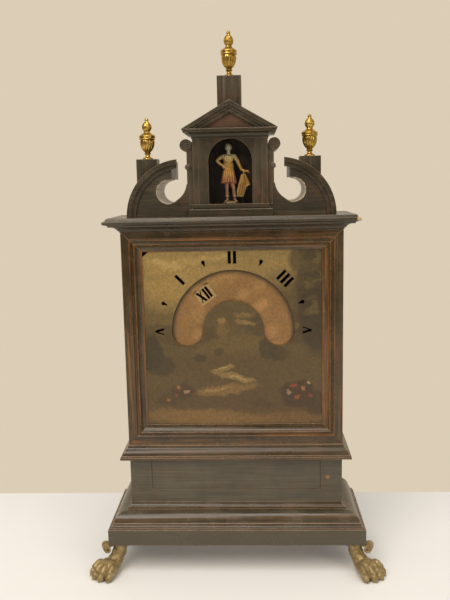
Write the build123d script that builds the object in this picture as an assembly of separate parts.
from build123d import *
import os
from math import atan2, cos, degrees, hypot, pi, radians, sin, tan

# A table night clock: an ebonised case on two bronze paw feet, a painted copper dial with a
# half-ring slot, and behind it a disc that carries the pierced hour across the slot.
# Millimetres, +Z up, the front faces -Y. Heights are counted from the table, and depths are
# counted forward from the flat back of the case.

# Clearances
FIT = 0.05          # radial, a fixed pin or dowel in its hole
RUN = 0.06          # radial, a turning shaft in its hole
GAP = 0.5           # between a moving wooden piece and its frame
SEAT = 0.3          # between a piece that only rests and what carries it

# Plinth and base moulding
FOOT_H = 40.0
PLINTH_W = 357.0
PLINTH_D = 134.0
PLINTH_H = 22.0
BASE_MOULD_H = 29.0
BASE_REACH = 30.0   # the base moulding's reach beyond the frieze
PLINTH_WALL = 12.0
# Frieze with the drawer
FRIEZE_H = 66.0
BOARD = 10.0
DRAWER_RAIL = 18.5
DRAWER_STILE = 30.5  # the frieze beside the drawer front
DRAWER_CORNER_R = 4.0
DRAWER_TRAVEL = 70.0
DRAWER_SIDE = 6.0
DRAWER_FLOOR = 3.0
FINGER_HOLE_R = 11.0
# Waist, case and cornice
WAIST_REACH = 11.5
WAIST_H = 20.0
CORNICE_REACH = 20.5
CORNICE_H = 19.5
STRIP = 4.0         # thickness of a moulding strip behind the face it is glued to
SHELF = 12.0        # floor and top boards
# Front door
DOOR_T = 14.0
DOOR_MOULD = 17.0    # width of the moulded part of the frame
DOOR_MARGIN = 10.5   # width of the flat margin beside it
DOOR_REBATE = 5.0
DOOR_PIVOT_IN = 6.5
DOOR_PIN_R = 1.5
DOOR_PIN_L = 12.0
DIAL_DEPTH = 98.0
DIAL_T = 1.2
SPRIG_R = 0.7
# Dial
SLOT_SHARE = 0.3469  # the slot's outer radius, as a share of the dial's side
SLOT_BAND = 42.3
CHAPTER_OUT = 16.7   # from the slot's edge to the middle of the quarters' figures
NUMERAL_H = 17.0
# Rear door
REAR_STILE = 20.0
REAR_DOOR_T = 8.0
REAR_LEAF_T = 1.2
REAR_LEAF_W = 15.0
REAR_LEAF_H = 30.0
REAR_HINGE_R = 2.5
REAR_PIN_R = 1.0
KNOB_REACH = 9.0
KNOB_STEM_R = 2.0
BUTTON_SCREW_R = 1.5
# Superstructure
CREST_D = 95.0
ARCH_R = 76.5
ARCH_BAND = 12.0
ARCH_X = 64.0
NOSE_X = 71.5
LEG_X = 79.0
CUSP_R = 15.6
CUSP_X = 84.2
NECK_X = 58.0
NICHE_W = 58.0
NICHE_BODY_W = 100.0
NICHE_DEPTH = 40.0
LINING_T = 3.0
SILL_W = 112.0
VOLUTE_R = 8.0
ARCH_PROUD = 4.0
FINIAL_PEG_R = 2.5
FINIAL_PEG_L = 12.0
PEDIMENT_HALF = 63.0
PEDIMENT_PITCH = 29.7
PEDIMENT_REACH = 12.5
RAKE_T = 13.0
CENTRE_BLOCK = 32.0
SIDE_BLOCK = 28.0
LEFT_BLOCK_X = -113.0
RIGHT_BLOCK_X = 107.0
BLOCK_DEPTH = 68.0  # depth of the blocks' middle
FINIAL_H = 59.0
SIDE_FINIAL_H = 55.0
STATUETTE_DEPTH = 74.0
STATUETTE_H = 79.0
# Feet
TOE_REACH = 31.0    # toes in front of the plinth
BUN_R = 17.0
BUN_D = 22.0
# Movement
FRONT_PLATE = 86.5  # depth of its back face
BACK_PLATE = 41.5
PLATE_T = 2.5
PLATE_HALF = 68.0
GREAT_X = 24.0
BARREL_R = 24.0
BARREL_C = 62.0     # from the fusee's middle to the barrel's
FUSEE_R_BIG = 23.0
FUSEE_R_SMALL = 13.0
FUSEE_TURNS = 8
SQUARE = 3.6        # the winding square, across its flats
GREAT = (84, 12, 0.9)       # wheel teeth, pinion leaves, module
CENTRE = (84, 6, 0.55)
THIRD = (80, 6, 0.42)
MOTION = (72, 36, 0.7)
THIRD_ANGLE = 200.0
ESCAPE_ANGLE = 110.0
ESCAPE_R = 14.0
ESCAPE_TEETH = 30
ANCHOR_RISE = 20.0
PALLET_SPAN = 52.0  # from the line of centres to a pallet, about the wheel
ARBOR_R = 1.6
PIVOT_R = 0.8
SQUARE_R = 2.6      # the winding square's round root, in the back plate
DISC_DEPTH = 94.6
SHEET = 0.8
HOUR_ANGLE = 36.6   # the hour's window stands this far left of the top
HOUR_DISC_C = 39.5
HOUR_DISC_R = 35.0
HOUR_WINDOW = 25.0
HOUR_NUMERAL_H = 17.0
HOUR_NUMERAL_WIDEST = 18.5
STUD_R = 1.5
PENDULUM_L = 103.0
BOB_R = 17.0
PENDULUM_DEPTH = 34.5
PALLET_CLEAR = 1.5  # beyond the teeth, so that a whole swing stays clear
SPRING_ARBOR_R = 3.0
SPRING_T = 0.5
SPRING_TURNS = 7
BARREL_WALL = 1.2
GUT_R = 0.6
# Lamp
LAMP_DEPTH = 31.0
LAMP_R = 17.0
CHIMNEY_R = 15.0

# Heights and depths that follow
FRIEZE_W = PLINTH_W - 2 * BASE_REACH
DRAWER_W = FRIEZE_W - 2 * DRAWER_STILE
CASE_W = FRIEZE_W + 1.0
WAIST_W = CASE_W + 2 * WAIST_REACH
CORNICE_W = CASE_W + 2 * CORNICE_REACH
CASE_H = CASE_W - 2.0
PLINTH_TOP = FOOT_H + PLINTH_H
FRIEZE_Z = PLINTH_TOP + BASE_MOULD_H
WAIST_Z = FRIEZE_Z + FRIEZE_H
CASE_Z = WAIST_Z + WAIST_H
CORNICE_Z = CASE_Z + CASE_H
CREST_Z = CORNICE_Z + CORNICE_H
FOOT_X = PLINTH_W / 2 - 12.5
FOOT_D = PLINTH_D - 13.0
PAW_X = PLINTH_W / 2 + 5.5
PAW_D = PLINTH_D + 12.0
BUN_X = PLINTH_W / 2 - 19.5
DOOR_OPENING = CASE_W - 2 * (DOOR_MARGIN + DOOR_MOULD)
DOOR_OPENING_Z = CASE_Z + CASE_H / 2
DIAL_Z = DOOR_OPENING_Z + 11.0
SLOT_R_OUT = round(SLOT_SHARE * DOOR_OPENING, 1)
SLOT_R_IN = SLOT_R_OUT - SLOT_BAND
CHAPTER_R = SLOT_R_OUT + CHAPTER_OUT
DISC_R = SLOT_R_OUT + 7.7
PLATE_Z0 = DIAL_Z - 114.0
PLATE_Z1 = DIAL_Z - 34.0
NECK_TOP = DIAL_Z + 14.0
LAMP_Z = DIAL_Z + 17.0
CHIMNEY_Z = CORNICE_Z - 48.0
CUSP_Z = CREST_Z + 33.3
LEG_FOOT_Z = CREST_Z + 46.0
NICHE_FLOOR_Z = CREST_Z + 16.0
BOSS_Z = NICHE_FLOOR_Z + 49.5
VOLUTE_Z = NICHE_FLOOR_Z + 78.0
NICHE_TOP_Z = NICHE_FLOOR_Z + 85.5
ENTABLATURE_Z = NICHE_TOP_Z + 0.5
PEDIMENT_Z = ENTABLATURE_Z + 12.4
SIDE_BLOCK_TOP = CREST_Z + 77.5
CENTRE_BLOCK_TOP = PEDIMENT_Z + 69.1
FRIEZE_D = PLINTH_D - (PLINTH_W - FRIEZE_W) / 2
CASE_D = PLINTH_D - (PLINTH_W - CASE_W) / 2
SIDE_D = CASE_D - DOOR_T - GAP
INSIDE_W = CASE_W - 2 * BOARD
DRAWER_Z = FRIEZE_Z + DRAWER_RAIL
TOP_BOARD_Z = CORNICE_Z + SHELF
SLOT_MID = (SLOT_R_OUT + SLOT_R_IN) / 2
TOE_FRONT = PLINTH_D + TOE_REACH
BACK_Y = (TOE_FRONT - KNOB_REACH) / 2


def y_at(depth):
    """The Y of a depth in front of the clock's flat back."""
    return BACK_Y - depth


def block(x0, x1, depth0, depth1, z0, z1):
    """A board or block between two places along each direction."""
    size = (x1 - x0, depth1 - depth0, z1 - z0)
    return Pos((x0 + x1) / 2, y_at((depth0 + depth1) / 2), (z0 + z1) / 2) * Box(*size)


def slab(sketch, depth0, depth1, x=0.0, z=0.0):
    """A sketch drawn as the front view shows it, thick from depth0 forward to depth1."""
    plane = Plane(origin=(x, y_at(depth0), z), x_dir=(1, 0, 0), z_dir=(0, -1, 0))
    return extrude(plane * sketch, amount=depth1 - depth0, dir=(0, -1, 0))


def rod(radius, depth0, depth1, x=0.0, z=0.0):
    """A round bar that lies along the depth."""
    return slab(Circle(radius), depth0, depth1, x, z)


def upright(sketch, z0, z1, x=0.0, depth=0.0):
    """A sketch in plan, raised from z0 to z1."""
    return extrude(Plane(origin=(x, y_at(depth), z0)) * sketch, amount=z1 - z0, dir=(0, 0, 1))


def turned(points, x, depth, z):
    """A turned piece from its half outline of radius and height."""
    outline = make_face(Plane.XZ * Polyline(*points, close=True))
    return Pos(x, y_at(depth), z) * revolve(outline, Axis.Z)


def mirrored(solid):
    """The same piece on the other side of the clock."""
    return mirror(solid, about=Plane.YZ)


def pair(solid):
    """A piece and its mirror image, as two solids."""
    return Compound(children=[part_of(solid), part_of(mirrored(solid))])


def part_of(shape):
    """The single solid that a shape holds."""
    return shape.solids()[0]


def group(shapes):
    """Separate solids kept together under one name."""
    return Compound(children=[one for shape in shapes for one in shape.solids()])


def save(name, shape):
    """Writes one piece."""
    export_step(shape, os.path.join("parts", name + ".step"))


# Mouldings

def base_profile():
    """The ogee base: fascia, fillets, hollow, ovolo and top fillet, outward and up."""
    reach = BASE_REACH
    top = PLINTH_H + BASE_MOULD_H
    outline = (
        Polyline((-PLINTH_WALL, 0), (reach, 0), (reach, PLINTH_H), (reach - 1.5, PLINTH_H),
                 (reach - 1.5, PLINTH_H + 2.5), (reach - 3, PLINTH_H + 2.5))
        + ThreePointArc((reach - 3, PLINTH_H + 2.5), (reach - 5.2, PLINTH_H + 4), (reach - 6, PLINTH_H + 7))
        + Line((reach - 6, PLINTH_H + 7), (reach - 7, PLINTH_H + 7))
        + ThreePointArc((reach - 7, PLINTH_H + 7), (reach - 11.5, PLINTH_H + 16), (7, top - 9))
        + Polyline((7, top - 9), (5.2, top - 9), (5.2, top - 5.5), (2.6, top - 5.5))
        + ThreePointArc((2.6, top - 5.5), (0.8, top - 3.6), (0, top))
        + Polyline((0, top), (-PLINTH_WALL, top), (-PLINTH_WALL, 0)))
    return make_face(outline)


def waist_profile():
    """The waist moulding: a wide lower edge with two fillets under an ogee."""
    reach = WAIST_REACH
    inset = (CASE_W - FRIEZE_W) / 2
    outline = (
        Polyline((-STRIP, 0), (reach, 0), (reach, 3), (reach - 1.5, 3), (reach - 1.5, 5.2),
                 (reach - 2.6, 5.2))
        + ThreePointArc((reach - 2.6, 5.2), (reach - 4.2, 9.6), (reach - 7, 12.4))
        + ThreePointArc((reach - 7, 12.4), (2.2, 14.6), (1.5, WAIST_H - 2))
        + Polyline((1.5, WAIST_H - 2), (inset, WAIST_H - 2), (inset, WAIST_H), (-STRIP, WAIST_H),
                   (-STRIP, 0)))
    return make_face(outline)


def cornice_profile():
    """The top cornice: a rising hollow, a square lip and a sloping top."""
    reach = CORNICE_REACH
    outline = (
        Polyline((-STRIP, 0), (0.8, 0), (0.8, 2), (2.2, 2))
        + ThreePointArc((2.2, 2), (6.5, 6.6), (reach - 7, 8))
        + Polyline((reach - 7, 8), (reach - 6, 10), (reach - 2.5, 11.2))
        + ThreePointArc((reach - 2.5, 11.2), (reach, 13.2), (reach - 0.6, 15.6))
        + Polyline((reach - 0.6, 15.6), (reach - 3, 16.2), (reach - 5, CORNICE_H),
                   (-STRIP, CORNICE_H), (-STRIP, 0)))
    return make_face(outline)


def moulding(profile, width, depth, z, back):
    """A front length and a right return of a moulding, mitred at the corner.

    The profile is drawn outward from the face that it is glued to, and up. back is how far
    it reaches behind that face.
    """
    half = width / 2
    far = 60.0
    front_plane = Plane(origin=(-half - far, y_at(depth), z), x_dir=(0, -1, 0), z_dir=(-1, 0, 0))
    front = extrude(front_plane * profile, amount=2 * (half + far), dir=(1, 0, 0))
    side_plane = Plane(origin=(half, y_at(0), z), x_dir=(1, 0, 0), z_dir=(0, -1, 0))
    side = extrude(side_plane * profile, amount=depth + far, dir=(0, -1, 0))
    front_plan = Polygon((-half - far, -depth - far), (half + far, -depth - far),
                         (half - back, -depth + back), (-half + back, -depth + back), align=None)
    side_plan = Polygon((half - back, 0), (half + far, 0), (half + far, -depth - far),
                        (half - back, -depth + back), align=None)
    front = front & upright(front_plan, z - 1, z + far)
    side = side & upright(side_plan, z - 1, z + far)
    return front, side


# Base

def foot_plate():
    """The square plate that takes a paw foot's two screws."""
    return block(FOOT_X - 17, FOOT_X + 9, FOOT_D - 17, FOOT_D + 9, FOOT_H - 2.5, FOOT_H)


def foot_screw_places():
    """Where the two screws of the right paw foot go, across its plate."""
    return [(FOOT_X - 12.5, FOOT_D + 4.5), (FOOT_X + 4.5, FOOT_D - 12.5)]


def ball(radius_x, radius_y, radius_z, x, depth, z, turn=0.0):
    """An egg shape turned about the vertical."""
    return Pos(x, y_at(depth), z) * Rot(0, 0, turn) * scale(Sphere(1), by=(radius_x, radius_y, radius_z))


def paw_foot():
    """The right front foot: a leg that swells into a paw with four toes, and a rolled leaf."""
    turn = degrees(atan2(PAW_X - FOOT_X, PAW_D - FOOT_D))
    leg = loft([
        Plane(origin=(FOOT_X - 1, y_at(FOOT_D), FOOT_H - 2.5)) * RectangleRounded(20, 22, 5),
        Plane(origin=(FOOT_X, y_at(FOOT_D - 1), 27)) * RectangleRounded(19, 21, 7),
        Plane(origin=(FOOT_X + 3, y_at(FOOT_D + 4), 13)) * RectangleRounded(24, 26, 9),
        Plane(origin=(FOOT_X + 5, y_at(FOOT_D + 8), 3)) * RectangleRounded(22, 26, 9)])
    paw = ball(15.5, 19, 15, PAW_X - 6, PAW_D - 9, 9, turn)
    along = (sin(radians(turn)), cos(radians(turn)))
    across = (along[1], -along[0])
    foot = foot_plate() + leg + paw
    for side, ahead in ((-13.5, 1.5), (-4.6, 6.5), (4.6, 6.5), (13.5, 1.5)):
        x = PAW_X + side * across[0] + ahead * along[0]
        depth = PAW_D + side * across[1] + ahead * along[1]
        foot += ball(5.2, 12.0, 8.2, x, depth, 6.2, turn + side)
    roll = Pos(FOOT_X + 18.5, y_at(FOOT_D + 6), 33) * Rot(90, 0, 45) * Cylinder(6.0, 15)
    leaf = Pos(FOOT_X + 12.5, y_at(FOOT_D + 5), 35.5) * Rot(0, 12, 0) * Box(13, 15, 4)
    foot = foot + roll + leaf
    trim = block(FOOT_X - 40, PAW_X + 20, FOOT_D - 40, TOE_FRONT, 0, FOOT_H)
    foot = foot & trim
    for x, depth in foot_screw_places():
        foot -= upright(Circle(1.6 + FIT), 30, FOOT_H + 1, x, depth)
        foot -= upright(Circle(3.4), 20, FOOT_H - 2.5, x, depth)
    return part_of(foot)


def foot_screws():
    """Round-headed screws through the foot plates into the plinth."""
    screws = []
    for x, depth in foot_screw_places():
        screws.append(upright(Circle(3), FOOT_H - 4, FOOT_H - 2.5, x, depth)
                      + upright(Circle(1.6), FOOT_H - 2.5, FOOT_H + 12, x, depth))
    return group(screws + [mirrored(screw) for screw in screws])


def bun_foot():
    """A turned rear foot with the spigot that is glued into the plinth."""
    top = FOOT_H
    points = [(0, 0), (9, 0), (14, 5), (BUN_R, 14), (15.5, 24), (10, 31), (9, 33), (12, 34),
              (12, top), (6, top), (6, top + 14), (0, top + 14)]
    return turned(points, BUN_X, BUN_D, 0)


def plinth_pieces():
    """The base moulding, bored for the foot screws and the rear feet's spigots."""
    front, side = moulding(base_profile(), FRIEZE_W, FRIEZE_D, FOOT_H, PLINTH_WALL)
    for x, depth in foot_screw_places():
        hole = upright(Circle(1.6 + FIT), FOOT_H - 1, FOOT_H + 13, x, depth)
        front = front - hole - mirrored(hole)
        side = side - hole
    side -= upright(Circle(6 + FIT), FOOT_H - 1, FOOT_H + 14.5, BUN_X, BUN_D)
    return front, side


def base_board():
    """The board that closes the plinth and carries the frieze."""
    half = FRIEZE_W / 2 - PLINTH_WALL
    return block(-half, half, 0, FRIEZE_D - PLINTH_WALL, FRIEZE_Z - SHELF, FRIEZE_Z)


# Frieze and drawer

def drawer_outline(grow, height):
    """The drawer front's shape, with its lower left corner rounded."""
    half = DRAWER_W / 2 + grow
    low = -grow
    r = DRAWER_CORNER_R + grow
    outline = (Polyline((-half, height), (-half, low + r))
               + RadiusArc((-half, low + r), (-half + r, low), -r)
               + Polyline((-half + r, low), (half, low), (half, height), (-half, height)))
    return make_face(outline)


def frieze_front():
    """The board that frames the drawer front on three sides."""
    half = FRIEZE_W / 2
    board = block(-half, half, FRIEZE_D - BOARD, FRIEZE_D, FRIEZE_Z, WAIST_Z)
    opening = slab(drawer_outline(GAP, FRIEZE_H), FRIEZE_D - BOARD - 1, FRIEZE_D + 1, 0, DRAWER_Z)
    return board - opening


def frieze_side():
    """The frieze's right side board, which reaches the floor board behind the waist moulding."""
    half = FRIEZE_W / 2
    board = block(half - BOARD, half, 0, FRIEZE_D - BOARD, FRIEZE_Z, WAIST_Z)
    inner = CASE_W / 2 - STRIP
    return board + block(half - BOARD, inner, 0, FRIEZE_D - BOARD, WAIST_Z, CASE_Z - SHELF)


def frieze_back():
    """The frieze's back board, with a hole to push the drawer out by a finger."""
    half = FRIEZE_W / 2 - BOARD
    board = block(-half, half, 0, BOARD, FRIEZE_Z, WAIST_Z + WAIST_H - SHELF)
    return board - rod(FINGER_HOLE_R, -1, BOARD + 1, 0, (DRAWER_Z + WAIST_Z) / 2)


def drawer_runner():
    """The strip that the drawer's right side slides on."""
    half = FRIEZE_W / 2 - BOARD
    return block(half - 42, half, BOARD, FRIEZE_D - BOARD, FRIEZE_Z, DRAWER_Z - GAP)


def drawer_front():
    """The drawer's front, flush with the frieze."""
    height = WAIST_Z - DRAWER_Z - GAP
    return slab(drawer_outline(0, height), FRIEZE_D - BOARD, FRIEZE_D, 0, DRAWER_Z)


def drawer_box():
    """The drawer's open box, behind its front."""
    half = DRAWER_W / 2 - 4
    depth0 = BOARD + 4
    depth1 = FRIEZE_D - BOARD
    top = WAIST_Z - 6
    outer = block(-half, half, depth0, depth1, DRAWER_Z, top)
    inner = block(-half + DRAWER_SIDE, half - DRAWER_SIDE, depth0 + DRAWER_SIDE, depth1 - DRAWER_SIDE,
                  DRAWER_Z + DRAWER_FLOOR, top + 1)
    return outer - inner


# Case

def floor_board():
    """The case's floor, bored for the front door's lower pivot."""
    half = CASE_W / 2 - STRIP
    board = block(-half, half, 0, CASE_D - STRIP, CASE_Z - SHELF, CASE_Z)
    return board - door_pin_hole(CASE_Z)


def top_board():
    """The case's top, bored for the upper pivot and the lamp's chimney."""
    half = CASE_W / 2 - STRIP
    board = block(-half, half, 0, CASE_D - STRIP, CORNICE_Z, TOP_BOARD_Z)
    return board - door_pin_hole(CORNICE_Z) - chimney_hole()


def deck_board():
    """The board inside the cornice that the superstructure stands on."""
    half = CASE_W / 2 - STRIP
    return block(-half, half, 0, CASE_D - STRIP, TOP_BOARD_Z, CREST_Z) - chimney_hole()


def chimney_hole():
    """The round way for the chimney through the top boards and the niche's sill."""
    return upright(Circle(CHIMNEY_R + 1), CORNICE_Z - 1, NICHE_FLOOR_Z + 1, 0, LAMP_DEPTH)


def door_pin_hole(z):
    """The hole for one of the front door's pivot pins, about the height z."""
    return upright(Circle(DOOR_PIN_R + RUN), z - DOOR_PIN_L / 2 - 0.5, z + DOOR_PIN_L / 2 + 0.5,
                   -CASE_W / 2 + DOOR_PIVOT_IN, CASE_D - DOOR_T / 2)


def case_side():
    """The case's right side board."""
    half = CASE_W / 2
    return block(half - BOARD, half, 0, SIDE_D, CASE_Z, CORNICE_Z)


def rear_stile():
    """The right upright of the frame round the rear door."""
    half = INSIDE_W / 2
    return block(half - REAR_STILE, half, 0, BOARD, CASE_Z, CORNICE_Z)


def hinge_stile():
    """The same upright with the recesses for the hinges' fixed leaves."""
    x, _ = rear_hinge_axis()
    stile = rear_stile()
    for z in rear_hinge_places():
        stile -= block(x, x + REAR_LEAF_W, -1, REAR_LEAF_T, z - REAR_LEAF_H / 2, z + REAR_LEAF_H / 2)
    return stile


def button_stile():
    """The left upright, bored for the turn-button's screw."""
    x, z = button_place()
    return mirrored(rear_stile()) - rod(BUTTON_SCREW_R + FIT, -1, BOARD - 0.9, x, z)


def rear_rails():
    """The cross pieces above and below the rear door."""
    half = INSIDE_W / 2 - REAR_STILE
    return [block(-half, half, 0, BOARD, z, z + REAR_STILE)
            for z in (CASE_Z, CORNICE_Z - REAR_STILE)]


# Front door

def door_profile(margin):
    """The door frame's section: inward from its outer edge, and forward from the case's face.

    A flat margin, a bead, a hollow, a square crest and an ogee that falls to the dial, with
    the dial plate's rebate behind.
    """
    inner = margin + DOOR_MOULD
    rebate = inner - DOOR_REBATE
    ledge = DIAL_DEPTH - CASE_D
    outline = (
        Polyline((0, -DOOR_T), (0, 0), (margin, 0), (margin, 1))
        + ThreePointArc((margin, 1), (margin + 1.3, 2), (margin + 2.6, 1))
        + Line((margin + 2.6, 1), (margin + 2.6, 0.2))
        + ThreePointArc((margin + 2.6, 0.2), (margin + 4.4, -0.8), (margin + 6.2, 0.4))
        + Polyline((margin + 6.2, 0.4), (margin + 6.2, 1.4), (margin + 7.8, 1.4))
        + ThreePointArc((margin + 7.8, 1.4), (margin + 10.6, -2.2), (inner - 2.4, ledge + 2.2))
        + Polyline((inner - 2.4, ledge + 2.2), (inner, ledge + 1.4), (inner, ledge), (rebate, ledge),
                   (rebate, -DOOR_T), (0, -DOOR_T)))
    return make_face(outline)


def mitre_plan(far=60.0):
    """The front view's share of a right stile and of a top rail, cut at 45 degrees."""
    h = DOOR_OPENING / 2
    stile = Polygon((h, h), (h + far, h + far), (h + far, -h - far), (h, -h), align=None)
    rail = Polygon((-h, h), (h, h), (h + far, h + far), (-h - far, h + far), align=None)
    return stile, rail


def door_frame():
    """The right, left, top and bottom members of the door frame."""
    half = CASE_W / 2
    z0 = CASE_Z + GAP
    z1 = CORNICE_Z - GAP
    height = z1 - z0
    stile_plan, rail_plan = mitre_plan()
    side_margin = (CASE_W - DOOR_OPENING) / 2 - DOOR_MOULD
    stile_plane = Plane(origin=(half, y_at(CASE_D), z0), x_dir=(-1, 0, 0), z_dir=(0, 0, 1))
    right = extrude(stile_plane * door_profile(side_margin), amount=height, dir=(0, 0, 1))
    right = right & slab(stile_plan, 0, 2 * CASE_D, 0, DOOR_OPENING_Z)
    pivot_x = -half + DOOR_PIVOT_IN
    pivot_depth = CASE_D - DOOR_T / 2
    corner = block(-half - 1, pivot_x, 0, pivot_depth, z0 - 1, z1 + 1)
    corner = corner - upright(Circle(DOOR_PIVOT_IN), z0 - 2, z1 + 2, pivot_x, pivot_depth)
    rails = []
    for edge, up, plan in ((z1, -1, rail_plan), (z0, 1, mirror(rail_plan, about=Plane.XZ))):
        margin = abs(edge - DOOR_OPENING_Z) - DOOR_OPENING / 2 - DOOR_MOULD
        plane = Plane(origin=(-up * half, y_at(CASE_D), edge), x_dir=(0, 0, up), z_dir=(up, 0, 0))
        rail = extrude(plane * door_profile(margin), amount=CASE_W, dir=(up, 0, 0))
        rails.append(rail & slab(plan, 0, 2 * CASE_D, 0, DOOR_OPENING_Z))
    members = []
    for member in [right, mirrored(right)] + rails:
        member = member - corner - door_pin_hole(CASE_Z) - door_pin_hole(CORNICE_Z)
        members.append(part_of(member - sprig_holes()))
    return members


def sprig_places():
    """The dial's brass sprigs: a point on the rebate's wall and the way it is driven in."""
    wall = DOOR_OPENING / 2 + DOOR_REBATE
    places = []
    for along in (-70.0, 70.0):
        places += [((wall, along), (1, 0)), ((-wall, along), (-1, 0)),
                   ((along, wall), (0, 1)), ((along, -wall), (0, -1))]
    return places


def sprig(radius, place, way):
    """A sprig of some radius, half in the frame and half behind the dial's edge."""
    depth = DIAL_DEPTH - DIAL_T - SPRIG_R - SEAT / 3
    start = (place[0] - 4 * way[0], y_at(depth), DOOR_OPENING_Z + place[1] - 4 * way[1])
    return extrude(Plane(origin=start, z_dir=(way[0], 0, way[1])) * Circle(radius), amount=10)


def sprig_holes():
    """All the holes that the sprigs are driven into."""
    holes = [sprig(SPRIG_R + FIT, place, way) for place, way in sprig_places()]
    return Compound(children=[part_of(hole) for hole in holes])


def dial_sprigs():
    """The eight sprigs that hold the dial in its rebate."""
    return group([sprig(SPRIG_R, place, way) for place, way in sprig_places()])


def door_pins():
    """The front door's two pivot pins."""
    x = -CASE_W / 2 + DOOR_PIVOT_IN
    depth = CASE_D - DOOR_T / 2
    return group([upright(Circle(DOOR_PIN_R), z - DOOR_PIN_L / 2, z + DOOR_PIN_L / 2, x, depth)
                  for z in (CASE_Z, CORNICE_Z)])


# Numerals, drawn as strokes

def stroke(x0, y0, x1, y1, width):
    """A straight stroke between two points, cut level at both ends."""
    return Polygon((x0 - width / 2, y0), (x0 + width / 2, y0), (x1 + width / 2, y1),
                   (x1 - width / 2, y1), align=None)


def letter(name, height, thick, thin):
    """One Roman letter, from its left edge, with its width."""
    h = height / 2
    if name == "I":
        return stroke(thick / 2, -h, thick / 2, h, thick), thick
    wide = 0.62 * height
    if name == "V":
        low = wide / 2
        down = stroke(thick / 2, h, low, -h, thick)
        up = stroke(wide - thin / 2, h, low, -h, thin)
        return down + up, wide
    down = stroke(thick / 2, h, wide - thick / 2, -h, thick)
    up = stroke(thin / 2, -h, wide - thin / 2, h, thin)
    return down + up, wide


def numeral(text, height, thick, thin, gap, widest=1e9):
    """A Roman numeral centred on the origin, squeezed where it would be too wide."""
    sketch = None
    x = 0.0
    for name in text:
        shape, wide = letter(name, height, thick, thin)
        shape = Pos(x, 0) * shape
        sketch = shape if sketch is None else sketch + shape
        x += wide + gap
    total = x - gap
    squeeze = min(1.0, widest / total)
    return scale(Pos(-total / 2, 0) * sketch, by=(squeeze, 1, 1))


def around(sketch, radius, angle):
    """A sketch set on a circle, its top outward, at an angle left of the top."""
    return Rot(0, 0, angle) * Pos(0, radius) * sketch


def end_mark():
    """The wide V at each end of the quarters, drawn with its point down."""
    return stroke(-3.4, 6, 0, -6, 3.4) + stroke(4.2, 6, 0, -6, 1.9)


def teardrop():
    """A half-quarter mark: a round head and a tail that points to the slot."""
    tail = Polygon((-2.4, 1), (2.4, 1), (0, -5.5), align=None)
    return Pos(0, 1.6) * Circle(2.6) + tail


def arc_slot():
    """The half-ring that the hour is seen through, with round ends."""
    ring = Circle(SLOT_R_OUT) - Circle(SLOT_R_IN)
    upper = Pos(0, SLOT_R_OUT) * Rectangle(4 * SLOT_R_OUT, 2 * SLOT_R_OUT)
    end = Circle((SLOT_R_OUT - SLOT_R_IN) / 2)
    return (ring & upper) + Pos(SLOT_MID, 0) * end + Pos(-SLOT_MID, 0) * end


def dial_plate():
    """The copper dial: the slot, the quarters and their marks are cut through it."""
    side = DOOR_OPENING + 2 * DOOR_REBATE - 2 * SEAT
    face = Pos(0, DOOR_OPENING_Z - DIAL_Z) * Rectangle(side, side)
    face -= arc_slot()
    for text, angle in (("I", 45), ("II", 0), ("III", -45)):
        face -= around(numeral(text, NUMERAL_H, 4.3, 4.3, 2.8), CHAPTER_R, angle)
    for angle in (22.5, -22.5, 67.5, -67.5):
        face -= around(teardrop(), CHAPTER_R, angle)
    for angle in (90, -90):
        face -= around(Rot(0, 0, 180) * end_mark(), CHAPTER_R, angle)
    corner = (-DOOR_OPENING / 2, DOOR_OPENING_Z - DIAL_Z + DOOR_OPENING / 2)
    face -= Polygon(corner, (corner[0] + 9, corner[1]), (corner[0], corner[1] - 7), align=None)
    return slab(face, DIAL_DEPTH - DIAL_T, DIAL_DEPTH, 0, DIAL_Z)


# Wheels

def wheel_outline(teeth, module, rows):
    """A toothed outline. Each row is a height over the pitch circle in modules, and half the
    tooth's thickness there as a share of the pitch."""
    pitch = pi * module
    radius = teeth * module / 2
    points = []
    for count in range(teeth):
        middle = 2 * pi * count / teeth
        for side, order in ((-1, rows), (1, rows[::-1])):
            for height, share in order:
                angle = middle + side * share * pitch / radius
                reach = radius + height * module
                points.append((reach * cos(angle), reach * sin(angle)))
    return Polygon(*points, align=None)


WHEEL_ROWS = [(-1.3, 0.22), (0.0, 0.21), (0.5, 0.15), (0.9, 0.05)]
LEAF_ROWS = [(-1.35, 0.13), (0.0, 0.15), (0.35, 0.11), (0.6, 0.05)]


def crossed(sketch, radius, hub, arms):
    """A wheel opened between its arms."""
    rim = 0.82 * radius
    opening = Circle(rim) - Circle(hub)
    for count in range(arms):
        opening -= Rot(0, 0, 360 * count / arms) * Pos(rim / 2, 0) * Rectangle(rim + 4, 0.14 * radius + 1)
    return sketch - opening


def wheel(pair_of, depth0, depth1, place, turn=0.0, arms=4, bore=ARBOR_R):
    """The wheel of a gear pair, opened between its arms, on its arbor."""
    teeth, _, module = pair_of
    face = wheel_outline(teeth, module, WHEEL_ROWS)
    face = crossed(face, teeth * module / 2 - 1.3 * module, bore + 3, arms) - Circle(bore)
    return slab(Rot(0, 0, turn) * face, depth0, depth1, *place)


def pinion(leaves, module, depth0, depth1, place, turn=0.0):
    """A pinion cut from its own arbor's steel."""
    return slab(Rot(0, 0, turn) * wheel_outline(leaves, module, LEAF_ROWS), depth0, depth1, *place)


def gear_distance(pair_of):
    """Between the middles of two wheels in mesh."""
    return (pair_of[0] + pair_of[1]) * pair_of[2] / 2


def mesh_turn(leaves, toward):
    """Turns a pinion so that a gap between its leaves faces the wheel at the angle toward."""
    return toward + 180.0 / leaves


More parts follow.
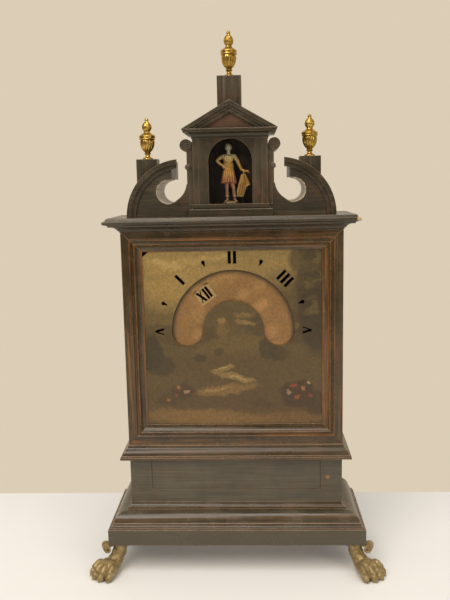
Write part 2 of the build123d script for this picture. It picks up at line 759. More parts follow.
# Where the arbors stand, as (x, z)
DISC_AT = (0.0, DIAL_Z)
CENTRE_AT = (0.0, DIAL_Z - gear_distance(MOTION))
GREAT_AT = (GREAT_X, CENTRE_AT[1] - (gear_distance(GREAT) ** 2 - GREAT_X ** 2) ** 0.5)
BARREL_AT = (GREAT_X - BARREL_C, GREAT_AT[1])
THIRD_AT = (CENTRE_AT[0] + gear_distance(CENTRE) * cos(radians(THIRD_ANGLE)),
            CENTRE_AT[1] + gear_distance(CENTRE) * sin(radians(THIRD_ANGLE)))
ESCAPE_AT = (THIRD_AT[0] + gear_distance(THIRD) * cos(radians(ESCAPE_ANGLE)),
             THIRD_AT[1] + gear_distance(THIRD) * sin(radians(ESCAPE_ANGLE)))
ANCHOR_AT = (ESCAPE_AT[0], ESCAPE_AT[1] + ANCHOR_RISE)
LAYER = {"great": (83.0, 85.5), "centre": (46.0, 47.6), "third": (50.2, 51.6),
         "escape": (56.0, 57.4), "motion": (90.2, 91.8)}
PLATE_FRONT = FRONT_PLATE + PLATE_T
PLATE_BACK = BACK_PLATE + PLATE_T


def heading(start, end):
    """The angle from one arbor to another in the front view."""
    return degrees(atan2(end[1] - start[1], end[0] - start[0]))


def arbor(place, depth0, depth1, leaves=None):
    """An arbor between the plates, thinned to its pivots and, between two depths, for leaves."""
    body = rod(ARBOR_R, PLATE_BACK + SEAT, FRONT_PLATE - SEAT, *place)
    if leaves is not None:
        body -= rod(2 * ARBOR_R, leaves[0], leaves[1], *place)
    return body + rod(PIVOT_R, depth0, depth1, *place)


def plate_outline():
    """A movement plate: a wide foot and a neck that reaches the hour disc's arbor."""
    low = PLATE_Z0 - DIAL_Z
    shoulder = PLATE_Z1 - DIAL_Z
    top = NECK_TOP - DIAL_Z
    left = ANCHOR_AT[0] - 14
    return Polygon((-PLATE_HALF, low), (PLATE_HALF, low), (PLATE_HALF, shoulder - 8),
                   (PLATE_HALF - 8, shoulder), (24, shoulder), (14, top), (left, top),
                   (left - 6, shoulder), (-PLATE_HALF + 8, shoulder), (-PLATE_HALF, shoulder - 8),
                   align=None)


def pillar_places():
    """Where the four pillars stand."""
    x = PLATE_HALF - 7
    return [(sx * x, z) for sx in (-1, 1) for z in (PLATE_Z0 + 7, PLATE_Z1 - 10)]


def movement_plate(depth, bores):
    """One brass plate with its pillar holes and pivot holes."""
    plate = slab(plate_outline(), depth, depth + PLATE_T, 0, DIAL_Z)
    for x, z in pillar_places():
        plate -= rod(2 + FIT, depth - 1, depth + PLATE_T + 1, x, z)
    for (x, z), radius in bores:
        plate -= rod(radius + RUN, depth - 1, depth + PLATE_T + 1, x, z)
    return plate


def plate_bores(front):
    """The pivots that each plate carries, with their radii."""
    bores = [(CENTRE_AT, ARBOR_R if front else PIVOT_R), (THIRD_AT, PIVOT_R), (ESCAPE_AT, PIVOT_R),
             (ANCHOR_AT, PIVOT_R if front else ARBOR_R), (DISC_AT, ARBOR_R if front else PIVOT_R),
             (GREAT_AT, PIVOT_R if front else SQUARE_R), (BARREL_AT, PIVOT_R)]
    return bores


def pillars():
    """The four turned pillars between the plates, with pinned ends."""
    pieces = []
    long = FRONT_PLATE - PLATE_BACK
    points = [(0, 0), (4.2, 0), (4.2, -3), (2.8, -5), (3.6, -long / 2), (2.8, 5 - long),
              (4.2, 3 - long), (4.2, -long), (0, -long)]
    outline = make_face(Polyline(*points, close=True))
    for x, z in pillar_places():
        body = Pos(x, y_at(PLATE_BACK), z) * revolve(outline, Axis.Y)
        pieces.append(body + rod(2, BACK_PLATE - 3, PLATE_FRONT + 3, x, z))
    return group(pieces)


def great_wheel():
    """The great wheel at the fusee's large end."""
    depth0, depth1 = LAYER["great"]
    turn = heading(GREAT_AT, CENTRE_AT)
    return wheel(GREAT, depth0, depth1, GREAT_AT, turn, arms=5, bore=SQUARE_R)


def fusee_steps():
    """The fusee's turns: where each starts and ends in depth, and its radius."""
    depth0 = PLATE_BACK + 9
    step = (LAYER["great"][0] - depth0) / FUSEE_TURNS
    steps = []
    for count in range(FUSEE_TURNS):
        radius = FUSEE_R_SMALL + (FUSEE_R_BIG - FUSEE_R_SMALL) * (count / (FUSEE_TURNS - 1)) ** 1.5
        steps.append((depth0 + count * step, depth0 + (count + 1) * step, radius))
    return steps


def fusee():
    """The fusee: a stepped cone on the winding arbor, with its square behind."""
    body = rod(SQUARE_R, BACK_PLATE - 1, FRONT_PLATE - SEAT, *GREAT_AT)
    for depth0, depth1, radius in fusee_steps():
        body += rod(radius, depth0, depth1, *GREAT_AT)
    body += rod(PIVOT_R, FRONT_PLATE - SEAT, PLATE_FRONT, *GREAT_AT)
    return body + slab(Rectangle(SQUARE, SQUARE), BACK_PLATE - 12, BACK_PLATE - 1, *GREAT_AT)


def barrel():
    """The spring barrel's drum, open at the front, and its cap."""
    depth0, depth1 = PLATE_BACK + 8.5, LAYER["great"][0] - 1
    wall = BARREL_WALL
    bore = rod(SPRING_ARBOR_R + RUN, depth0 - 1, depth1 + 1, *BARREL_AT)
    drum = rod(BARREL_R, depth0, depth1 - wall, *BARREL_AT) - rod(BARREL_R - wall, depth0 + wall, depth1, *BARREL_AT)
    cap = rod(BARREL_R, depth1 - wall, depth1, *BARREL_AT)
    return drum - bore, cap - bore


def barrel_arbor():
    """The fixed arbor that the spring's inner end is hooked to."""
    body = rod(SPRING_ARBOR_R, PLATE_BACK + SEAT, FRONT_PLATE - SEAT, *BARREL_AT)
    return body + rod(PIVOT_R, BACK_PLATE, PLATE_FRONT, *BARREL_AT)


def mainspring():
    """The spring's strip, coiled in half turns between the arbor and the drum's wall."""
    r0 = SPRING_ARBOR_R + 2.0
    room = BARREL_R - BARREL_WALL - SEAT - SPRING_T - r0
    pitch = room / (SPRING_TURNS - 0.25)
    face = None
    for count in range(2 * SPRING_TURNS):
        inner = r0 + pitch * count / 2
        shift = pitch / 4 * (1 if count % 2 == 0 else -1)
        ring = Circle(inner + SPRING_T) - Circle(inner)
        half = Pos(0, BARREL_R if count % 2 == 0 else -BARREL_R) * Rectangle(4 * BARREL_R, 2 * BARREL_R)
        half_ring = Pos(shift, 0) * (ring & half)
        face = half_ring if face is None else face + half_ring
    return slab(face, PLATE_BACK + 11, LAYER["great"][0] - 4, *BARREL_AT)


def centre_arbor():
    """The hour arbor with its pinion, carried through the front plate to the motion wheel."""
    leaves, module = GREAT[1], GREAT[2]
    turn = mesh_turn(leaves, heading(CENTRE_AT, GREAT_AT))
    body = arbor(CENTRE_AT, BACK_PLATE, FRONT_PLATE)
    body += rod(ARBOR_R, FRONT_PLATE - 1, LAYER["motion"][1], *CENTRE_AT)
    return body + pinion(leaves, module, LAYER["great"][0] - 1, LAYER["great"][1] + 0.6, CENTRE_AT, turn)


def centre_wheel():
    """The wheel on the hour arbor that drives the third pinion."""
    return wheel(CENTRE, *LAYER["centre"], CENTRE_AT, heading(CENTRE_AT, THIRD_AT))


def motion_wheel():
    """The small wheel in front of the plate, which turns once an hour."""
    teeth, module = MOTION[1], MOTION[2]
    turn = mesh_turn(teeth, heading(CENTRE_AT, DISC_AT))
    face = wheel_outline(teeth, module, WHEEL_ROWS) - Circle(ARBOR_R)
    return slab(Rot(0, 0, turn) * face, *LAYER["motion"], *CENTRE_AT)


def third_arbor():
    """The third arbor with its pinion."""
    turn = mesh_turn(CENTRE[1], heading(THIRD_AT, CENTRE_AT))
    span = (LAYER["centre"][0] - 0.6, LAYER["centre"][1] + 0.8)
    shaft = arbor(THIRD_AT, BACK_PLATE, PLATE_FRONT, span)
    return shaft + pinion(CENTRE[1], CENTRE[2], *span, THIRD_AT, turn)


def third_wheel():
    """The third wheel."""
    return wheel(THIRD, *LAYER["third"], THIRD_AT, heading(THIRD_AT, ESCAPE_AT))


def escape_arbor():
    """The escape arbor with its pinion."""
    turn = mesh_turn(THIRD[1], heading(ESCAPE_AT, THIRD_AT))
    span = (LAYER["third"][0] - 0.6, LAYER["third"][1] + 0.8)
    shaft = arbor(ESCAPE_AT, BACK_PLATE, PLATE_FRONT, span)
    return shaft + pinion(THIRD[1], THIRD[2], *span, ESCAPE_AT, turn)


def escape_wheel():
    """The escape wheel with its pointed, leaning teeth."""
    root = ESCAPE_R - 2.6
    points = []
    for count in range(ESCAPE_TEETH):
        for share, reach in ((0.0, root), (0.45, ESCAPE_R), (0.55, ESCAPE_R), (0.75, root)):
            angle = 2 * pi * (count + share) / ESCAPE_TEETH
            points.append((reach * cos(angle), reach * sin(angle)))
    face = crossed(Polygon(*points, align=None), root - 1.2, ARBOR_R + 2.4, 4) - Circle(ARBOR_R)
    return slab(face, *LAYER["escape"], *ESCAPE_AT)


def anchor():
    """The anchor: two pallets on arms, standing just outside the escape wheel's teeth."""
    reach = ESCAPE_R + PALLET_CLEAR
    angle = radians(PALLET_SPAN)
    tip = (reach * sin(angle), reach * cos(angle) - ANCHOR_RISE)
    arm = Polygon((0, -3.4), (tip[0] - 1.2, tip[1] + 5), tip, (tip[0] + 3.6, tip[1] + 1.5),
                  (tip[0] + 3.3, tip[1] + 8), (0, 3.4), align=None)
    face = Circle(3.4) + arm + mirror(arm, about=Plane.YZ)
    return slab(face - Circle(ARBOR_R), *LAYER["escape"], *ANCHOR_AT)


def anchor_arbor():
    """The anchor's arbor, which passes through the back plate to carry the pendulum."""
    body = rod(ARBOR_R, PENDULUM_DEPTH - 2, FRONT_PLATE - SEAT, *ANCHOR_AT)
    return body + rod(PIVOT_R, FRONT_PLATE - SEAT, PLATE_FRONT, *ANCHOR_AT)


def pendulum_rod():
    """The pendulum's rod, with the eye that is fixed on the anchor's arbor."""
    eye = Circle(4) - Circle(ARBOR_R)
    bar = Pos(0, -(4 + PENDULUM_L + BOB_R + 8) / 2 + 1) * Rectangle(2.4, PENDULUM_L + BOB_R + 4)
    return slab(eye + (bar - Circle(3.9)), PENDULUM_DEPTH - 1, PENDULUM_DEPTH + 1, *ANCHOR_AT)


def pendulum_bob():
    """The lens-shaped bob, with a slot that slides on the rod."""
    lens = Pos(0, y_at(PENDULUM_DEPTH), 0) * scale(Sphere(BOB_R), by=(1, 4.8 / BOB_R, 1))
    lens = Pos(ANCHOR_AT[0], 0, ANCHOR_AT[1] - PENDULUM_L) * lens
    slot = block(ANCHOR_AT[0] - 1.2, ANCHOR_AT[0] + 1.2, PENDULUM_DEPTH - 1, PENDULUM_DEPTH + 1,
                 ANCHOR_AT[1] - PENDULUM_L - BOB_R - 5, ANCHOR_AT[1] - PENDULUM_L + BOB_R + 5)
    return part_of(lens - slot)


def rating_nut():
    """The nut under the bob, which sets the clock's rate."""
    z = ANCHOR_AT[1] - PENDULUM_L - BOB_R
    nut = upright(Circle(3.6), z - 3.2, z - 0.2, ANCHOR_AT[0], PENDULUM_DEPTH)
    slot = block(ANCHOR_AT[0] - 1.2, ANCHOR_AT[0] + 1.2, PENDULUM_DEPTH - 1, PENDULUM_DEPTH + 1, z - 5, z)
    return nut - slot


def gut_line():
    """The straight run of gut, tangent to the barrel and to one of the fusee's turns."""
    depth0, depth1, fusee_r = fusee_steps()[FUSEE_TURNS // 2]
    depth = (depth0 + depth1) / 2
    lean = (BARREL_R - fusee_r) / BARREL_C
    rise = (1 - lean ** 2) ** 0.5
    start = Vector(BARREL_AT[0] + (BARREL_R + GUT_R) * lean, y_at(depth), BARREL_AT[1] + (BARREL_R + GUT_R) * rise)
    end = Vector(GREAT_AT[0] + (fusee_r + GUT_R) * lean, y_at(depth), GREAT_AT[1] + (fusee_r + GUT_R) * rise)
    return extrude(Plane(origin=start, z_dir=end - start) * Circle(GUT_R), amount=(end - start).length)


# Hour disc and its numerals

def hour_disc():
    """The painted disc that turns once in two hours, with two windows for the hour."""
    face = Circle(DISC_R) - Circle(ARBOR_R)
    for turn in (0, 180):
        face -= around(RectangleRounded(HOUR_WINDOW, HOUR_WINDOW - 2, 3), SLOT_MID, HOUR_ANGLE + turn)
        face -= around(Circle(STUD_R), HOUR_DISC_C, HOUR_ANGLE + turn)
    return slab(face, DISC_DEPTH, DISC_DEPTH + SHEET, *DISC_AT)


def hour_disc_arbor():
    """The hour disc's arbor, through both plates."""
    body = arbor(DISC_AT, BACK_PLATE, FRONT_PLATE)
    return body + rod(ARBOR_R, FRONT_PLATE - 1, DISC_DEPTH + SHEET + 0.5, *DISC_AT)


def disc_wheel():
    """The toothed wheel behind the hour disc."""
    return wheel(MOTION, *LAYER["motion"], DISC_AT, heading(DISC_AT, CENTRE_AT), arms=4)


def disc_studs():
    """The two studs, riveted to the hour disc, that the numeral discs turn on."""
    studs = []
    for turn in (0, 180):
        angle = radians(90 + HOUR_ANGLE + turn)
        place = (DISC_AT[0] + HOUR_DISC_C * cos(angle), DISC_AT[1] + HOUR_DISC_C * sin(angle))
        stud = rod(STUD_R, DISC_DEPTH - 1.9, DISC_DEPTH + SHEET, *place)
        studs.append(stud + rod(2 * STUD_R, DISC_DEPTH - 2.1, DISC_DEPTH - 1.5, *place))
    return group(studs)


def numeral_disc(names, turn):
    """A thin disc pierced with six hours, behind the hour disc at one of its windows."""
    ring = SLOT_MID - HOUR_DISC_C
    face = Circle(HOUR_DISC_R) - Circle(STUD_R + RUN)
    for count, name in enumerate(names):
        face -= around(numeral(name, HOUR_NUMERAL_H, 4.2, 2.0, 1.2, HOUR_NUMERAL_WIDEST), ring, 60 * count)
    placed = around(face, HOUR_DISC_C, HOUR_ANGLE + turn)
    return slab(placed, DISC_DEPTH - SHEET - 0.4, DISC_DEPTH - 0.4, *DISC_AT)


# Movement's seat

def seat_board():
    """The board that the movement stands on."""
    half = INSIDE_W / 2
    return block(-half, half, BACK_PLATE + 1, PLATE_FRONT, PLATE_Z0 - BOARD, PLATE_Z0)


def seat_cleat():
    """The strip on the right side board that carries the seat board."""
    half = INSIDE_W / 2
    return block(half - BOARD, half, BOARD, PLATE_FRONT, PLATE_Z0 - 2 * BOARD - 2, PLATE_Z0 - BOARD)


# Lamp

def lamp_stirrup():
    """The tin strap that hangs from the top board and holds the lamp."""
    half = LAMP_R + 9
    outer = block(-half, half, LAMP_DEPTH - 5, LAMP_DEPTH + 5, LAMP_Z - 1.5, CORNICE_Z)
    inner = block(-half + 1.5, half - 1.5, LAMP_DEPTH - 6, LAMP_DEPTH + 6, LAMP_Z, CORNICE_Z + 1)
    body = outer - inner
    for side in (-1, 1):
        x = sorted((side * half, side * (half + 9)))
        body += block(x[0], x[1], LAMP_DEPTH - 5, LAMP_DEPTH + 5, CORNICE_Z - 1.5, CORNICE_Z)
    return body


def lamp_font():
    """The oil lamp's tin font with its wick tube."""
    points = [(0, 0), (LAMP_R, 0), (LAMP_R, 18), (LAMP_R - 5, 22), (3.4, 23), (3.4, 31), (2.6, 31), (2.6, 3),
              (0, 3)]
    return turned(points, 0, LAMP_DEPTH, LAMP_Z)


def lamp_wick():
    """The cotton wick in the lamp's tube."""
    return upright(Circle(2.4), LAMP_Z + 3, LAMP_Z + 34, 0, LAMP_DEPTH)


def chimney():
    """The tin chimney that takes the lamp's heat up through the top boards."""
    top = NICHE_FLOOR_Z + 30
    tube = upright(Circle(CHIMNEY_R) - Circle(CHIMNEY_R - 0.6), CHIMNEY_Z, top, 0, LAMP_DEPTH)
    flange = upright(Circle(CHIMNEY_R + 5) - Circle(CHIMNEY_R - 0.6), CORNICE_Z - 1, CORNICE_Z, 0, LAMP_DEPTH)
    return tube + flange


# Rear door

def rear_opening():
    """The rear door's half width, its lower and its upper edge, inside its frame."""
    return (INSIDE_W / 2 - REAR_STILE - GAP, CASE_Z + REAR_STILE + GAP, CORNICE_Z - REAR_STILE - GAP)


def rear_hinge_places():
    """The middle heights of the two rear hinges."""
    _, z0, z1 = rear_opening()
    return (z0 + 40, z1 - 40)


def rear_hinge_axis():
    """The rear hinge pins' place in plan: behind the gap at the door's edge."""
    half, _, _ = rear_opening()
    return half + GAP / 2, -REAR_HINGE_R


def rear_door():
    """The rear door's board, hinged at the clock's right as seen from the front."""
    half, z0, z1 = rear_opening()
    x, _ = rear_hinge_axis()
    board = block(-half, half, 0, REAR_DOOR_T, z0, z1)
    for z in rear_hinge_places():
        board -= block(x - REAR_LEAF_W, x, -1, REAR_LEAF_T, z - REAR_LEAF_H / 2, z + REAR_LEAF_H / 2)
    return board - rod(KNOB_STEM_R + FIT, -1, REAR_DOOR_T - 2, *knob_place())


def knob_place():
    """Where the rear door's knob stands."""
    half, z0, z1 = rear_opening()
    return -half + 14, (z0 + z1) / 2


def rear_knob():
    """The turned brass knob of the rear door, with its stem."""
    x, z = knob_place()
    reach = KNOB_REACH
    points = [(0, 2 - REAR_DOOR_T), (KNOB_STEM_R, 2 - REAR_DOOR_T), (KNOB_STEM_R, 0), (4.5, 0), (4.5, 0.8),
              (2.6, 1.6), (2.6, 3), (5.4, 5), (5.4, 7), (3.5, reach), (0, reach)]
    outline = make_face(Polyline(*points, close=True))
    return Pos(x, y_at(0), z) * revolve(outline, Axis.Y)


def hinge_knuckle(z0, z1):
    """A hinge's hollow knuckle between two heights."""
    x, depth = rear_hinge_axis()
    return upright(Circle(REAR_HINGE_R) - Circle(REAR_PIN_R + RUN), z0, z1, x, depth)


def hinge_leaves(on_door):
    """The leaves of both rear hinges, on the door or on the frame, with their knuckles."""
    x, depth = rear_hinge_axis()
    side = -1 if on_door else 1
    tall = REAR_LEAF_H / 2
    leaves = []
    for z in rear_hinge_places():
        spans = [(-5, 5)] if on_door else [(-tall, -5 - SEAT), (5 + SEAT, tall)]
        near, far = sorted((x + side * GAP / 2, x + side * REAR_LEAF_W))
        leaf = block(near, far, 0, REAR_LEAF_T, z - tall, z + tall)
        for low, high in spans:
            near, far = sorted((x + side * GAP / 2, x + side * (REAR_HINGE_R + 2)))
            tab = block(near, far, depth, REAR_LEAF_T, z + low, z + high)
            hole = upright(Circle(REAR_PIN_R + RUN), z - 2 * tall, z + 2 * tall, x, depth)
            leaf += (tab - hole) + hinge_knuckle(z + low, z + high)
        leaves.append(leaf)
    return group(leaves)


def hinge_pins():
    """The two rear hinge pins."""
    x, depth = rear_hinge_axis()
    reach = REAR_LEAF_H / 2 + 0.5
    return group([upright(Circle(REAR_PIN_R), z - reach, z + reach, x, depth) for z in rear_hinge_places()])


def turn_button():
    """The brass turn-button beside the rear door, standing upright where it frees the door."""
    x, z = button_place()
    face = SlotOverall(30, 8, rotation=90) - Circle(BUTTON_SCREW_R + RUN)
    return slab(face, -SEAT - 2, -SEAT, x, z)


def button_place():
    """The turn-button's screw, on the frame's left stile."""
    half, z0, z1 = rear_opening()
    return -half - 10, (z0 + z1) / 2


def button_screw():
    """The screw that the turn-button turns on."""
    x, z = button_place()
    return rod(BUTTON_SCREW_R, -SEAT - 2.1, BOARD - 1, x, z) + rod(2.6, -SEAT - 3.2, -SEAT - 2.1, x, z)


# Superstructure

def scroll_outline():
    """Half of the broken pediment: a quarter arch, cut by a hook-shaped cusp."""
    half = ARCH_X + ARCH_R
    nose_z = CREST_Z + (ARCH_R ** 2 - (NOSE_X - ARCH_X) ** 2) ** 0.5
    mid = radians(45)
    sill_half = SILL_W / 2
    outline = (
        Polyline((sill_half, CREST_Z), (half, CREST_Z))
        + ThreePointArc((half, CREST_Z), (ARCH_X + ARCH_R * cos(mid), CREST_Z + ARCH_R * sin(mid)),
                        (NOSE_X, nose_z))
        + Polyline((NOSE_X, nose_z), (NOSE_X, nose_z - 3.5), (NOSE_X + 2, nose_z - 6), (LEG_X, nose_z - 7.5),
                   (LEG_X, LEG_FOOT_Z - 3), (sill_half, LEG_FOOT_Z - 3), (sill_half, CREST_Z)))
    return make_face(outline)


def cusp_cut():
    """The round hook that opens inward, up to the curve of the neck."""
    low_x = CUSP_X - 10.5
    low_z = CUSP_Z - (CUSP_R ** 2 - 10.5 ** 2) ** 0.5
    throat = (
        Polyline((CUSP_X, CUSP_Z), (low_x, low_z))
        + ThreePointArc((low_x, low_z), (NECK_X + 5.0, CUSP_Z - 1.5), (NECK_X + 1.2, LEG_FOOT_Z - 3))
        + Polyline((NECK_X + 1.2, LEG_FOOT_Z - 3), (NECK_X + 1.2, LEG_FOOT_Z + 4),
                   (CUSP_X, LEG_FOOT_Z + 4), (CUSP_X, CUSP_Z)))
    throat_box = Pos((NECK_X + LEG_X) / 2 + 0.6, LEG_FOOT_Z + 15) * Rectangle(LEG_X - NECK_X - 1.2, 40)
    return Pos(CUSP_X, CUSP_Z) * Circle(CUSP_R) + make_face(throat) + throat_box


def scroll_block():
    """The right scroll of the broken pediment."""
    face = scroll_outline() - cusp_cut()
    return part_of(slab(face, 0, CREST_D - ARCH_PROUD))


def arch_moulding():
    """The moulded band along the right scroll's arch, proud of its face."""
    profile_depth = CREST_D - ARCH_PROUD
    band = Pos(ARCH_X, CREST_Z) * (Circle(ARCH_R) - Circle(ARCH_R - ARCH_BAND))
    step = Pos(ARCH_X, CREST_Z) * (Circle(ARCH_R) - Circle(ARCH_R - ARCH_BAND / 2))
    keep = Pos(NOSE_X + 100, CREST_Z + 100) * Rectangle(200, 200)
    low = slab(band & keep, profile_depth, CREST_D - 1.5)
    high = slab(step & keep, CREST_D - 1.5, CREST_D + 1.5)
    return part_of(low + high)


def neck_bracket():
    """The slim bracket at the right of the niche, with its volute and boss."""
    depth = CREST_D - 3
    half = NICHE_BODY_W / 2
    bar = block(half, NECK_X, 0, depth, NICHE_FLOOR_Z, VOLUTE_Z)
    volute = rod(VOLUTE_R, 0, depth + 2, NECK_X + 0.7, VOLUTE_Z) & block(half, half + 40, 0, CREST_D, 500, 640)
    boss = rod(4, 0, depth + 1, NECK_X - 1.5, BOSS_Z) & block(half, half + 40, 0, CREST_D, 500, 640)
    foot_half = SILL_W / 2
    foot = block(half, foot_half, 0, depth, NICHE_FLOOR_Z, LEG_FOOT_Z - 3)
    body = bar + volute + boss + foot
    return part_of(body - block(foot_half, 200, -1, CREST_D, 400, LEG_FOOT_Z - 3))


def niche_sill():
    """The stepped base under the niche."""
    core = block(-SILL_W / 2, SILL_W / 2, 0, CREST_D - 3, CREST_Z, NICHE_FLOOR_Z)
    lower = block(-SILL_W / 2, SILL_W / 2, 0, CREST_D + 3, CREST_Z, NICHE_FLOOR_Z - 7)
    step = block(-SILL_W / 2 + 3, SILL_W / 2 - 3, 0, CREST_D + 1, NICHE_FLOOR_Z - 7, NICHE_FLOOR_Z - 5)
    upper = block(-NICHE_BODY_W / 2 - 1.5, NICHE_BODY_W / 2 + 1.5, 0, CREST_D + 2, NICHE_FLOOR_Z - 5,
                  NICHE_FLOOR_Z)
    return core + lower + step + upper - chimney_hole()


def niche_arch(grow):
    """The niche's front view: a round-headed opening, drawn from the sill."""
    half = NICHE_W / 2 + grow
    spring = NICHE_TOP_Z - NICHE_W / 2 - NICHE_FLOOR_Z
    head = Pos(0, spring) * Circle(half)
    foot = Pos(0, spring / 2) * Rectangle(2 * half, spring)
    return head + foot


def niche_front():
    """The board with the niche's arched opening, and a thin pilaster strip at each side."""
    half = NICHE_BODY_W / 2
    top = ENTABLATURE_Z
    board = block(-half, half, CREST_D - BOARD, CREST_D, NICHE_FLOOR_Z, top)
    board -= slab(niche_arch(0), CREST_D - BOARD - 1, CREST_D + 1, 0, NICHE_FLOOR_Z)
    for side in (-1, 1):
        x = sorted((side * (half - 1), side * (half - 8)))
        board += block(x[0], x[1], CREST_D, CREST_D + 0.8, NICHE_FLOOR_Z, top)
    return part_of(board)


def niche_side():
    """The niche housing's right wall."""
    half = NICHE_BODY_W / 2
    return block(half - BOARD, half, 0, CREST_D - BOARD, NICHE_FLOOR_Z, ENTABLATURE_Z)


def niche_lining():
    """The dark shell behind the opening: its reveal and its back."""
    front = CREST_D - BOARD
    shell = slab(niche_arch(LINING_T), CREST_D - NICHE_DEPTH - LINING_T, front, 0, NICHE_FLOOR_Z)
    shell -= slab(niche_arch(0), CREST_D - NICHE_DEPTH, front + 1, 0, NICHE_FLOOR_Z)
    return part_of(shell - block(-NICHE_W, NICHE_W, 0, CREST_D, ENTABLATURE_Z, ENTABLATURE_Z + NICHE_W))


def entablature_profile():
    """The pediment's level cornice, outward and up."""
    height = PEDIMENT_Z - ENTABLATURE_Z
    outline = (
        Polyline((-STRIP, 0), (1, 0), (1, 3))
        + ThreePointArc((1, 3), (3.4, 6.6), (PEDIMENT_REACH - 4.5, height - 4.4))
        + Polyline((PEDIMENT_REACH - 4.5, height - 4.4), (PEDIMENT_REACH - 1.2, height - 4.4),
                   (PEDIMENT_REACH - 1.2, height - 1.6), (PEDIMENT_REACH, height - 1.6),
                   (PEDIMENT_REACH, height), (-STRIP, height), (-STRIP, 0)))
    return make_face(outline)


def entablature():
    """The block over the niche, with its cornice on three sides."""
    front, side = moulding(entablature_profile(), NICHE_BODY_W, CREST_D, ENTABLATURE_Z, STRIP)
    half = NICHE_BODY_W / 2 - STRIP
    core = block(-half, half, 0, CREST_D - STRIP, ENTABLATURE_Z, PEDIMENT_Z)
    return part_of(core + front + side + mirrored(side))


def roof_height(x):
    """The roof's top at a distance from the middle."""
    return PEDIMENT_Z + (PEDIMENT_HALF - abs(x)) * tan(radians(PEDIMENT_PITCH))


def gable(thick=0.0):
    """The pediment's triangle, inside a border as thick as stated."""
    slope = radians(PEDIMENT_PITCH)
    half = PEDIMENT_HALF - thick / sin(slope)
    peak = roof_height(0) - thick / cos(slope)
    return Polygon((-half, PEDIMENT_Z), (half, PEDIMENT_Z), (0, peak), align=None)


def pediment_roof():
    """The gable block, with the two raking cornices as its stepped front edge."""
    front = CREST_D + PEDIMENT_REACH
    body = slab(gable(), 0, CREST_D - 4)
    steps = ((RAKE_T, CREST_D - 4, front - 5), (RAKE_T * 0.62, front - 5, front - 2.5),
             (RAKE_T * 0.36, front - 2.5, front))
    for thick, depth0, depth1 in steps:
        body += slab(gable() - gable(thick), depth0, depth1)
    return part_of(body)


def tympanum():
    """The plain triangular panel inside the pediment."""
    return slab(gable(RAKE_T), CREST_D - 4, CREST_D + PEDIMENT_REACH - 9)


def centre_block():
    """The block on the roof's ridge that carries the tallest finial."""
    half = CENTRE_BLOCK / 2
    depth = BLOCK_DEPTH
    body = block(-half, half, depth - half, depth + half, PEDIMENT_Z, CENTRE_BLOCK_TOP)
    return body - slab(gable(), 0, 2 * CREST_D) - finial_hole(0, CENTRE_BLOCK_TOP)


def side_block(x):
    """A block on a scroll's arch, its foot cut to the curve, that carries a finial."""
    half = SIDE_BLOCK / 2
    side = 1 if x > 0 else -1
    body = block(x - half, x + half, BLOCK_DEPTH - half, BLOCK_DEPTH + half, CREST_Z, SIDE_BLOCK_TOP)
    arch = rod(ARCH_R, -1, 2 * CREST_D, side * ARCH_X, CREST_Z)
    return part_of(body - arch - finial_hole(x, SIDE_BLOCK_TOP))


def finial_hole(x, z):
    """The hole for a finial's peg in the top of its block."""
    return upright(Circle(FINIAL_PEG_R + FIT), z - FINIAL_PEG_L - 0.5, z + 1, x, BLOCK_DEPTH)


def finial(x, z, height):
    """A brass urn finial: foot, stem, cup, rim, neck and knob, with a peg below."""
    shares = [(7.2, 0.0), (7.2, 0.03), (4.6, 0.055), (3.2, 0.08), (3.2, 0.12), (4.6, 0.14), (3.4, 0.165),
              (6.0, 0.21), (9.0, 0.3), (10.0, 0.42), (9.4, 0.47), (11.0, 0.49), (11.2, 0.56), (10.2, 0.585),
              (6.2, 0.62), (4.3, 0.66), (4.3, 0.69), (6.0, 0.72), (6.6, 0.78), (5.8, 0.85), (3.2, 0.9),
              (2.4, 0.93), (2.6, 0.96), (1.6, 0.99), (0.0, 1.0)]
    points = [(0, -FINIAL_PEG_L), (FINIAL_PEG_R, -FINIAL_PEG_L), (FINIAL_PEG_R, 0)]
    points += [(radius, share * height) for radius, share in shares]
    return turned(points, x, BLOCK_DEPTH, z)


# Statuette

def limb(start, end, r0, r1):
    """A tapering limb with round ends, between two points of x, depth and height."""
    a = Vector(start[0], y_at(start[1]), start[2])
    b = Vector(end[0], y_at(end[1]), end[2])
    plane = Plane(origin=a, z_dir=b - a)
    far = Plane(origin=b, z_dir=b - a)
    return loft([plane * Circle(r0), far * Circle(r1)]) + Pos(*a) * Sphere(r0) + Pos(*b) * Sphere(r1)


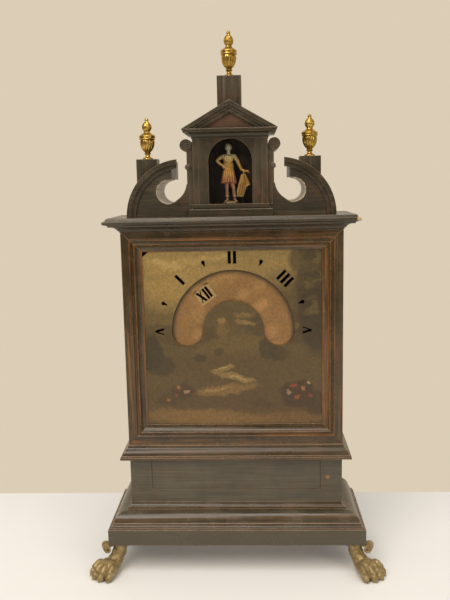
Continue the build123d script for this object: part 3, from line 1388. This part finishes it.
def statuette():
    """A standing soldier: one hand on the hip, the other low at a shield."""
    d = STATUETTE_DEPTH
    z = NICHE_FLOOR_Z
    body = block(-9, 11, d - 8, d + 8, z, z + 3)
    body += limb((-4, d, z + 4), (-4.5, d + 1, z + 27), 2.4, 3.6)
    body += limb((5.5, d + 2, z + 4), (3, d + 2, z + 27), 2.4, 3.6)
    body += ball(3.2, 5.5, 2.2, -4, d + 3, z + 4)
    body += ball(3.2, 5.5, 2.2, 6, d + 4, z + 4)
    skirt = loft([Plane(origin=(-1.5, y_at(d), z + 26)) * Ellipse(10, 7.5),
                  Plane(origin=(-1.5, y_at(d), z + 44)) * Ellipse(7, 5.5)])
    chest = loft([Plane(origin=(-1.5, y_at(d), z + 44)) * Ellipse(7, 5.5),
                  Plane(origin=(-1, y_at(d), z + 58)) * Ellipse(8.6, 6),
                  Plane(origin=(-0.8, y_at(d), z + 66)) * Ellipse(7.6, 5)])
    body = body + skirt + chest
    body += limb((-0.8, d, z + 65), (-0.8, d, z + 70), 2.8, 2.8)
    body += ball(4.2, 4.8, 5.4, -0.6, d, z + 73.6)
    body += limb((-8.5, d, z + 64), (-18.5, d, z + 56), 2.8, 2.3)
    body += limb((-18.5, d, z + 56), (-9, d + 3, z + 49), 2.3, 1.9)
    body += limb((7.5, d, z + 64), (14.5, d + 1, z + 52), 2.8, 2.2)
    body += limb((14.5, d + 1, z + 52), (21.5, d + 3, z + 42), 2.2, 1.8)
    return part_of(body)


def shield():
    """The long shield that leans beside the soldier."""
    d = STATUETTE_DEPTH + 2.5
    face = Polygon((15.5, 37), (19.5, 37), (25.0, 23), (19, 20), (13, 6), (9, 6), (11, 22), align=None)
    return slab(face, d - 1, d + 1.2, 0, NICHE_FLOOR_Z)


def base_group():
    """The feet, the plinth, the frieze and the drawer."""
    front, side = plinth_pieces()
    foot = paw_foot()
    return {
        "plinth_mouldings": group([front, side, mirrored(side)]),
        "base_board": base_board(),
        "paw_feet": pair(foot),
        "rear_bun_feet": pair(bun_foot()),
        "wood_screws": group([foot_screws(), button_screw()]),
        "frieze_front": frieze_front(),
        "frieze_boards": group([frieze_side(), mirrored(frieze_side()), frieze_back(),
                                drawer_runner(), mirrored(drawer_runner())]),
        "drawer_front": drawer_front(),
        "drawer_box": drawer_box()}


def case_group():
    """The case with its mouldings and its two doors."""
    waist_front, waist_side = moulding(waist_profile(), CASE_W, CASE_D, WAIST_Z, STRIP)
    cornice_front, cornice_side = moulding(cornice_profile(), CASE_W, CASE_D, CORNICE_Z, STRIP)
    return {
        "waist_mouldings": group([waist_front, waist_side, mirrored(waist_side)]),
        "floor_board": floor_board(),
        "case_sides": pair(case_side()),
        "rear_frame_boards": group([hinge_stile(), button_stile()] + rear_rails()),
        "top_boards": group([top_board(), deck_board()]),
        "cornice_mouldings": group([cornice_front, cornice_side, mirrored(cornice_side)]),
        "door_frame_members": group(door_frame()),
        "dial_plate": dial_plate(),
        "dial_sprigs": dial_sprigs(),
        "door_pivot_pins": door_pins(),
        "rear_door_panel": rear_door(),
        "rear_door_knob": rear_knob(),
        "rear_hinge_moving_leaves": hinge_leaves(True),
        "rear_hinge_fixed_leaves": group([hinge_leaves(False), hinge_pins()]),
        "turn_button": turn_button()}


def movement_group():
    """The movement, the hour disc and the lamp."""
    return {
        "seat_boards": group([seat_board(), seat_cleat(), mirrored(seat_cleat())]),
        "movement_front_plate": movement_plate(FRONT_PLATE, plate_bores(True)),
        "movement_back_plate": movement_plate(BACK_PLATE, plate_bores(False)),
        "plate_pillars": pillars(),
        "barrel": group(barrel()),
        "barrel_arbor": barrel_arbor(),
        "mainspring": mainspring(),
        "fusee": fusee(),
        "great_wheel": great_wheel(),
        "gut_line": gut_line(),
        "centre_wheel": centre_arbor() + centre_wheel() + motion_wheel(),
        "third_wheel": third_arbor() + third_wheel(),
        "escape_wheel": escape_arbor() + escape_wheel(),
        "anchor": anchor_arbor() + anchor(),
        "pendulum": group([pendulum_rod(), pendulum_bob(), rating_nut()]),
        "hour_disc": group([hour_disc(), disc_studs()]),
        "disc_wheel": hour_disc_arbor() + disc_wheel(),
        "even_hour_disc": numeral_disc(("XII", "II", "IV", "VI", "VIII", "X"), 0),
        "odd_hour_disc": numeral_disc(("I", "III", "V", "VII", "IX", "XI"), 180),
        "lamp_stirrup": lamp_stirrup(),
        "oil_lamp": lamp_font(),
        "lamp_wick": lamp_wick(),
        "chimney": chimney()}


def crest_group():
    """Everything above the cornice."""
    return {
        "scroll_blocks": pair(scroll_block()),
        "arch_mouldings": pair(arch_moulding()),
        "neck_brackets": pair(neck_bracket()),
        "niche_sill": niche_sill(),
        "niche_boards": group([niche_front(), niche_side(), mirrored(niche_side())]),
        "niche_lining": niche_lining(),
        "entablature": entablature(),
        "pediment_roof": pediment_roof(),
        "tympanum": tympanum(),
        "finial_blocks": group([centre_block(), side_block(LEFT_BLOCK_X), side_block(RIGHT_BLOCK_X)]),
        "finials": group([finial(0, CENTRE_BLOCK_TOP, FINIAL_H),
                          finial(LEFT_BLOCK_X, SIDE_BLOCK_TOP, SIDE_FINIAL_H),
                          finial(RIGHT_BLOCK_X, SIDE_BLOCK_TOP, SIDE_FINIAL_H)]),
        "statuette": group([statuette(), shield()])}


os.makedirs("parts", exist_ok=True)
for pieces in (base_group(), case_group(), movement_group(), crest_group()):
    for name, shape in pieces.items():
        save(name, shape)
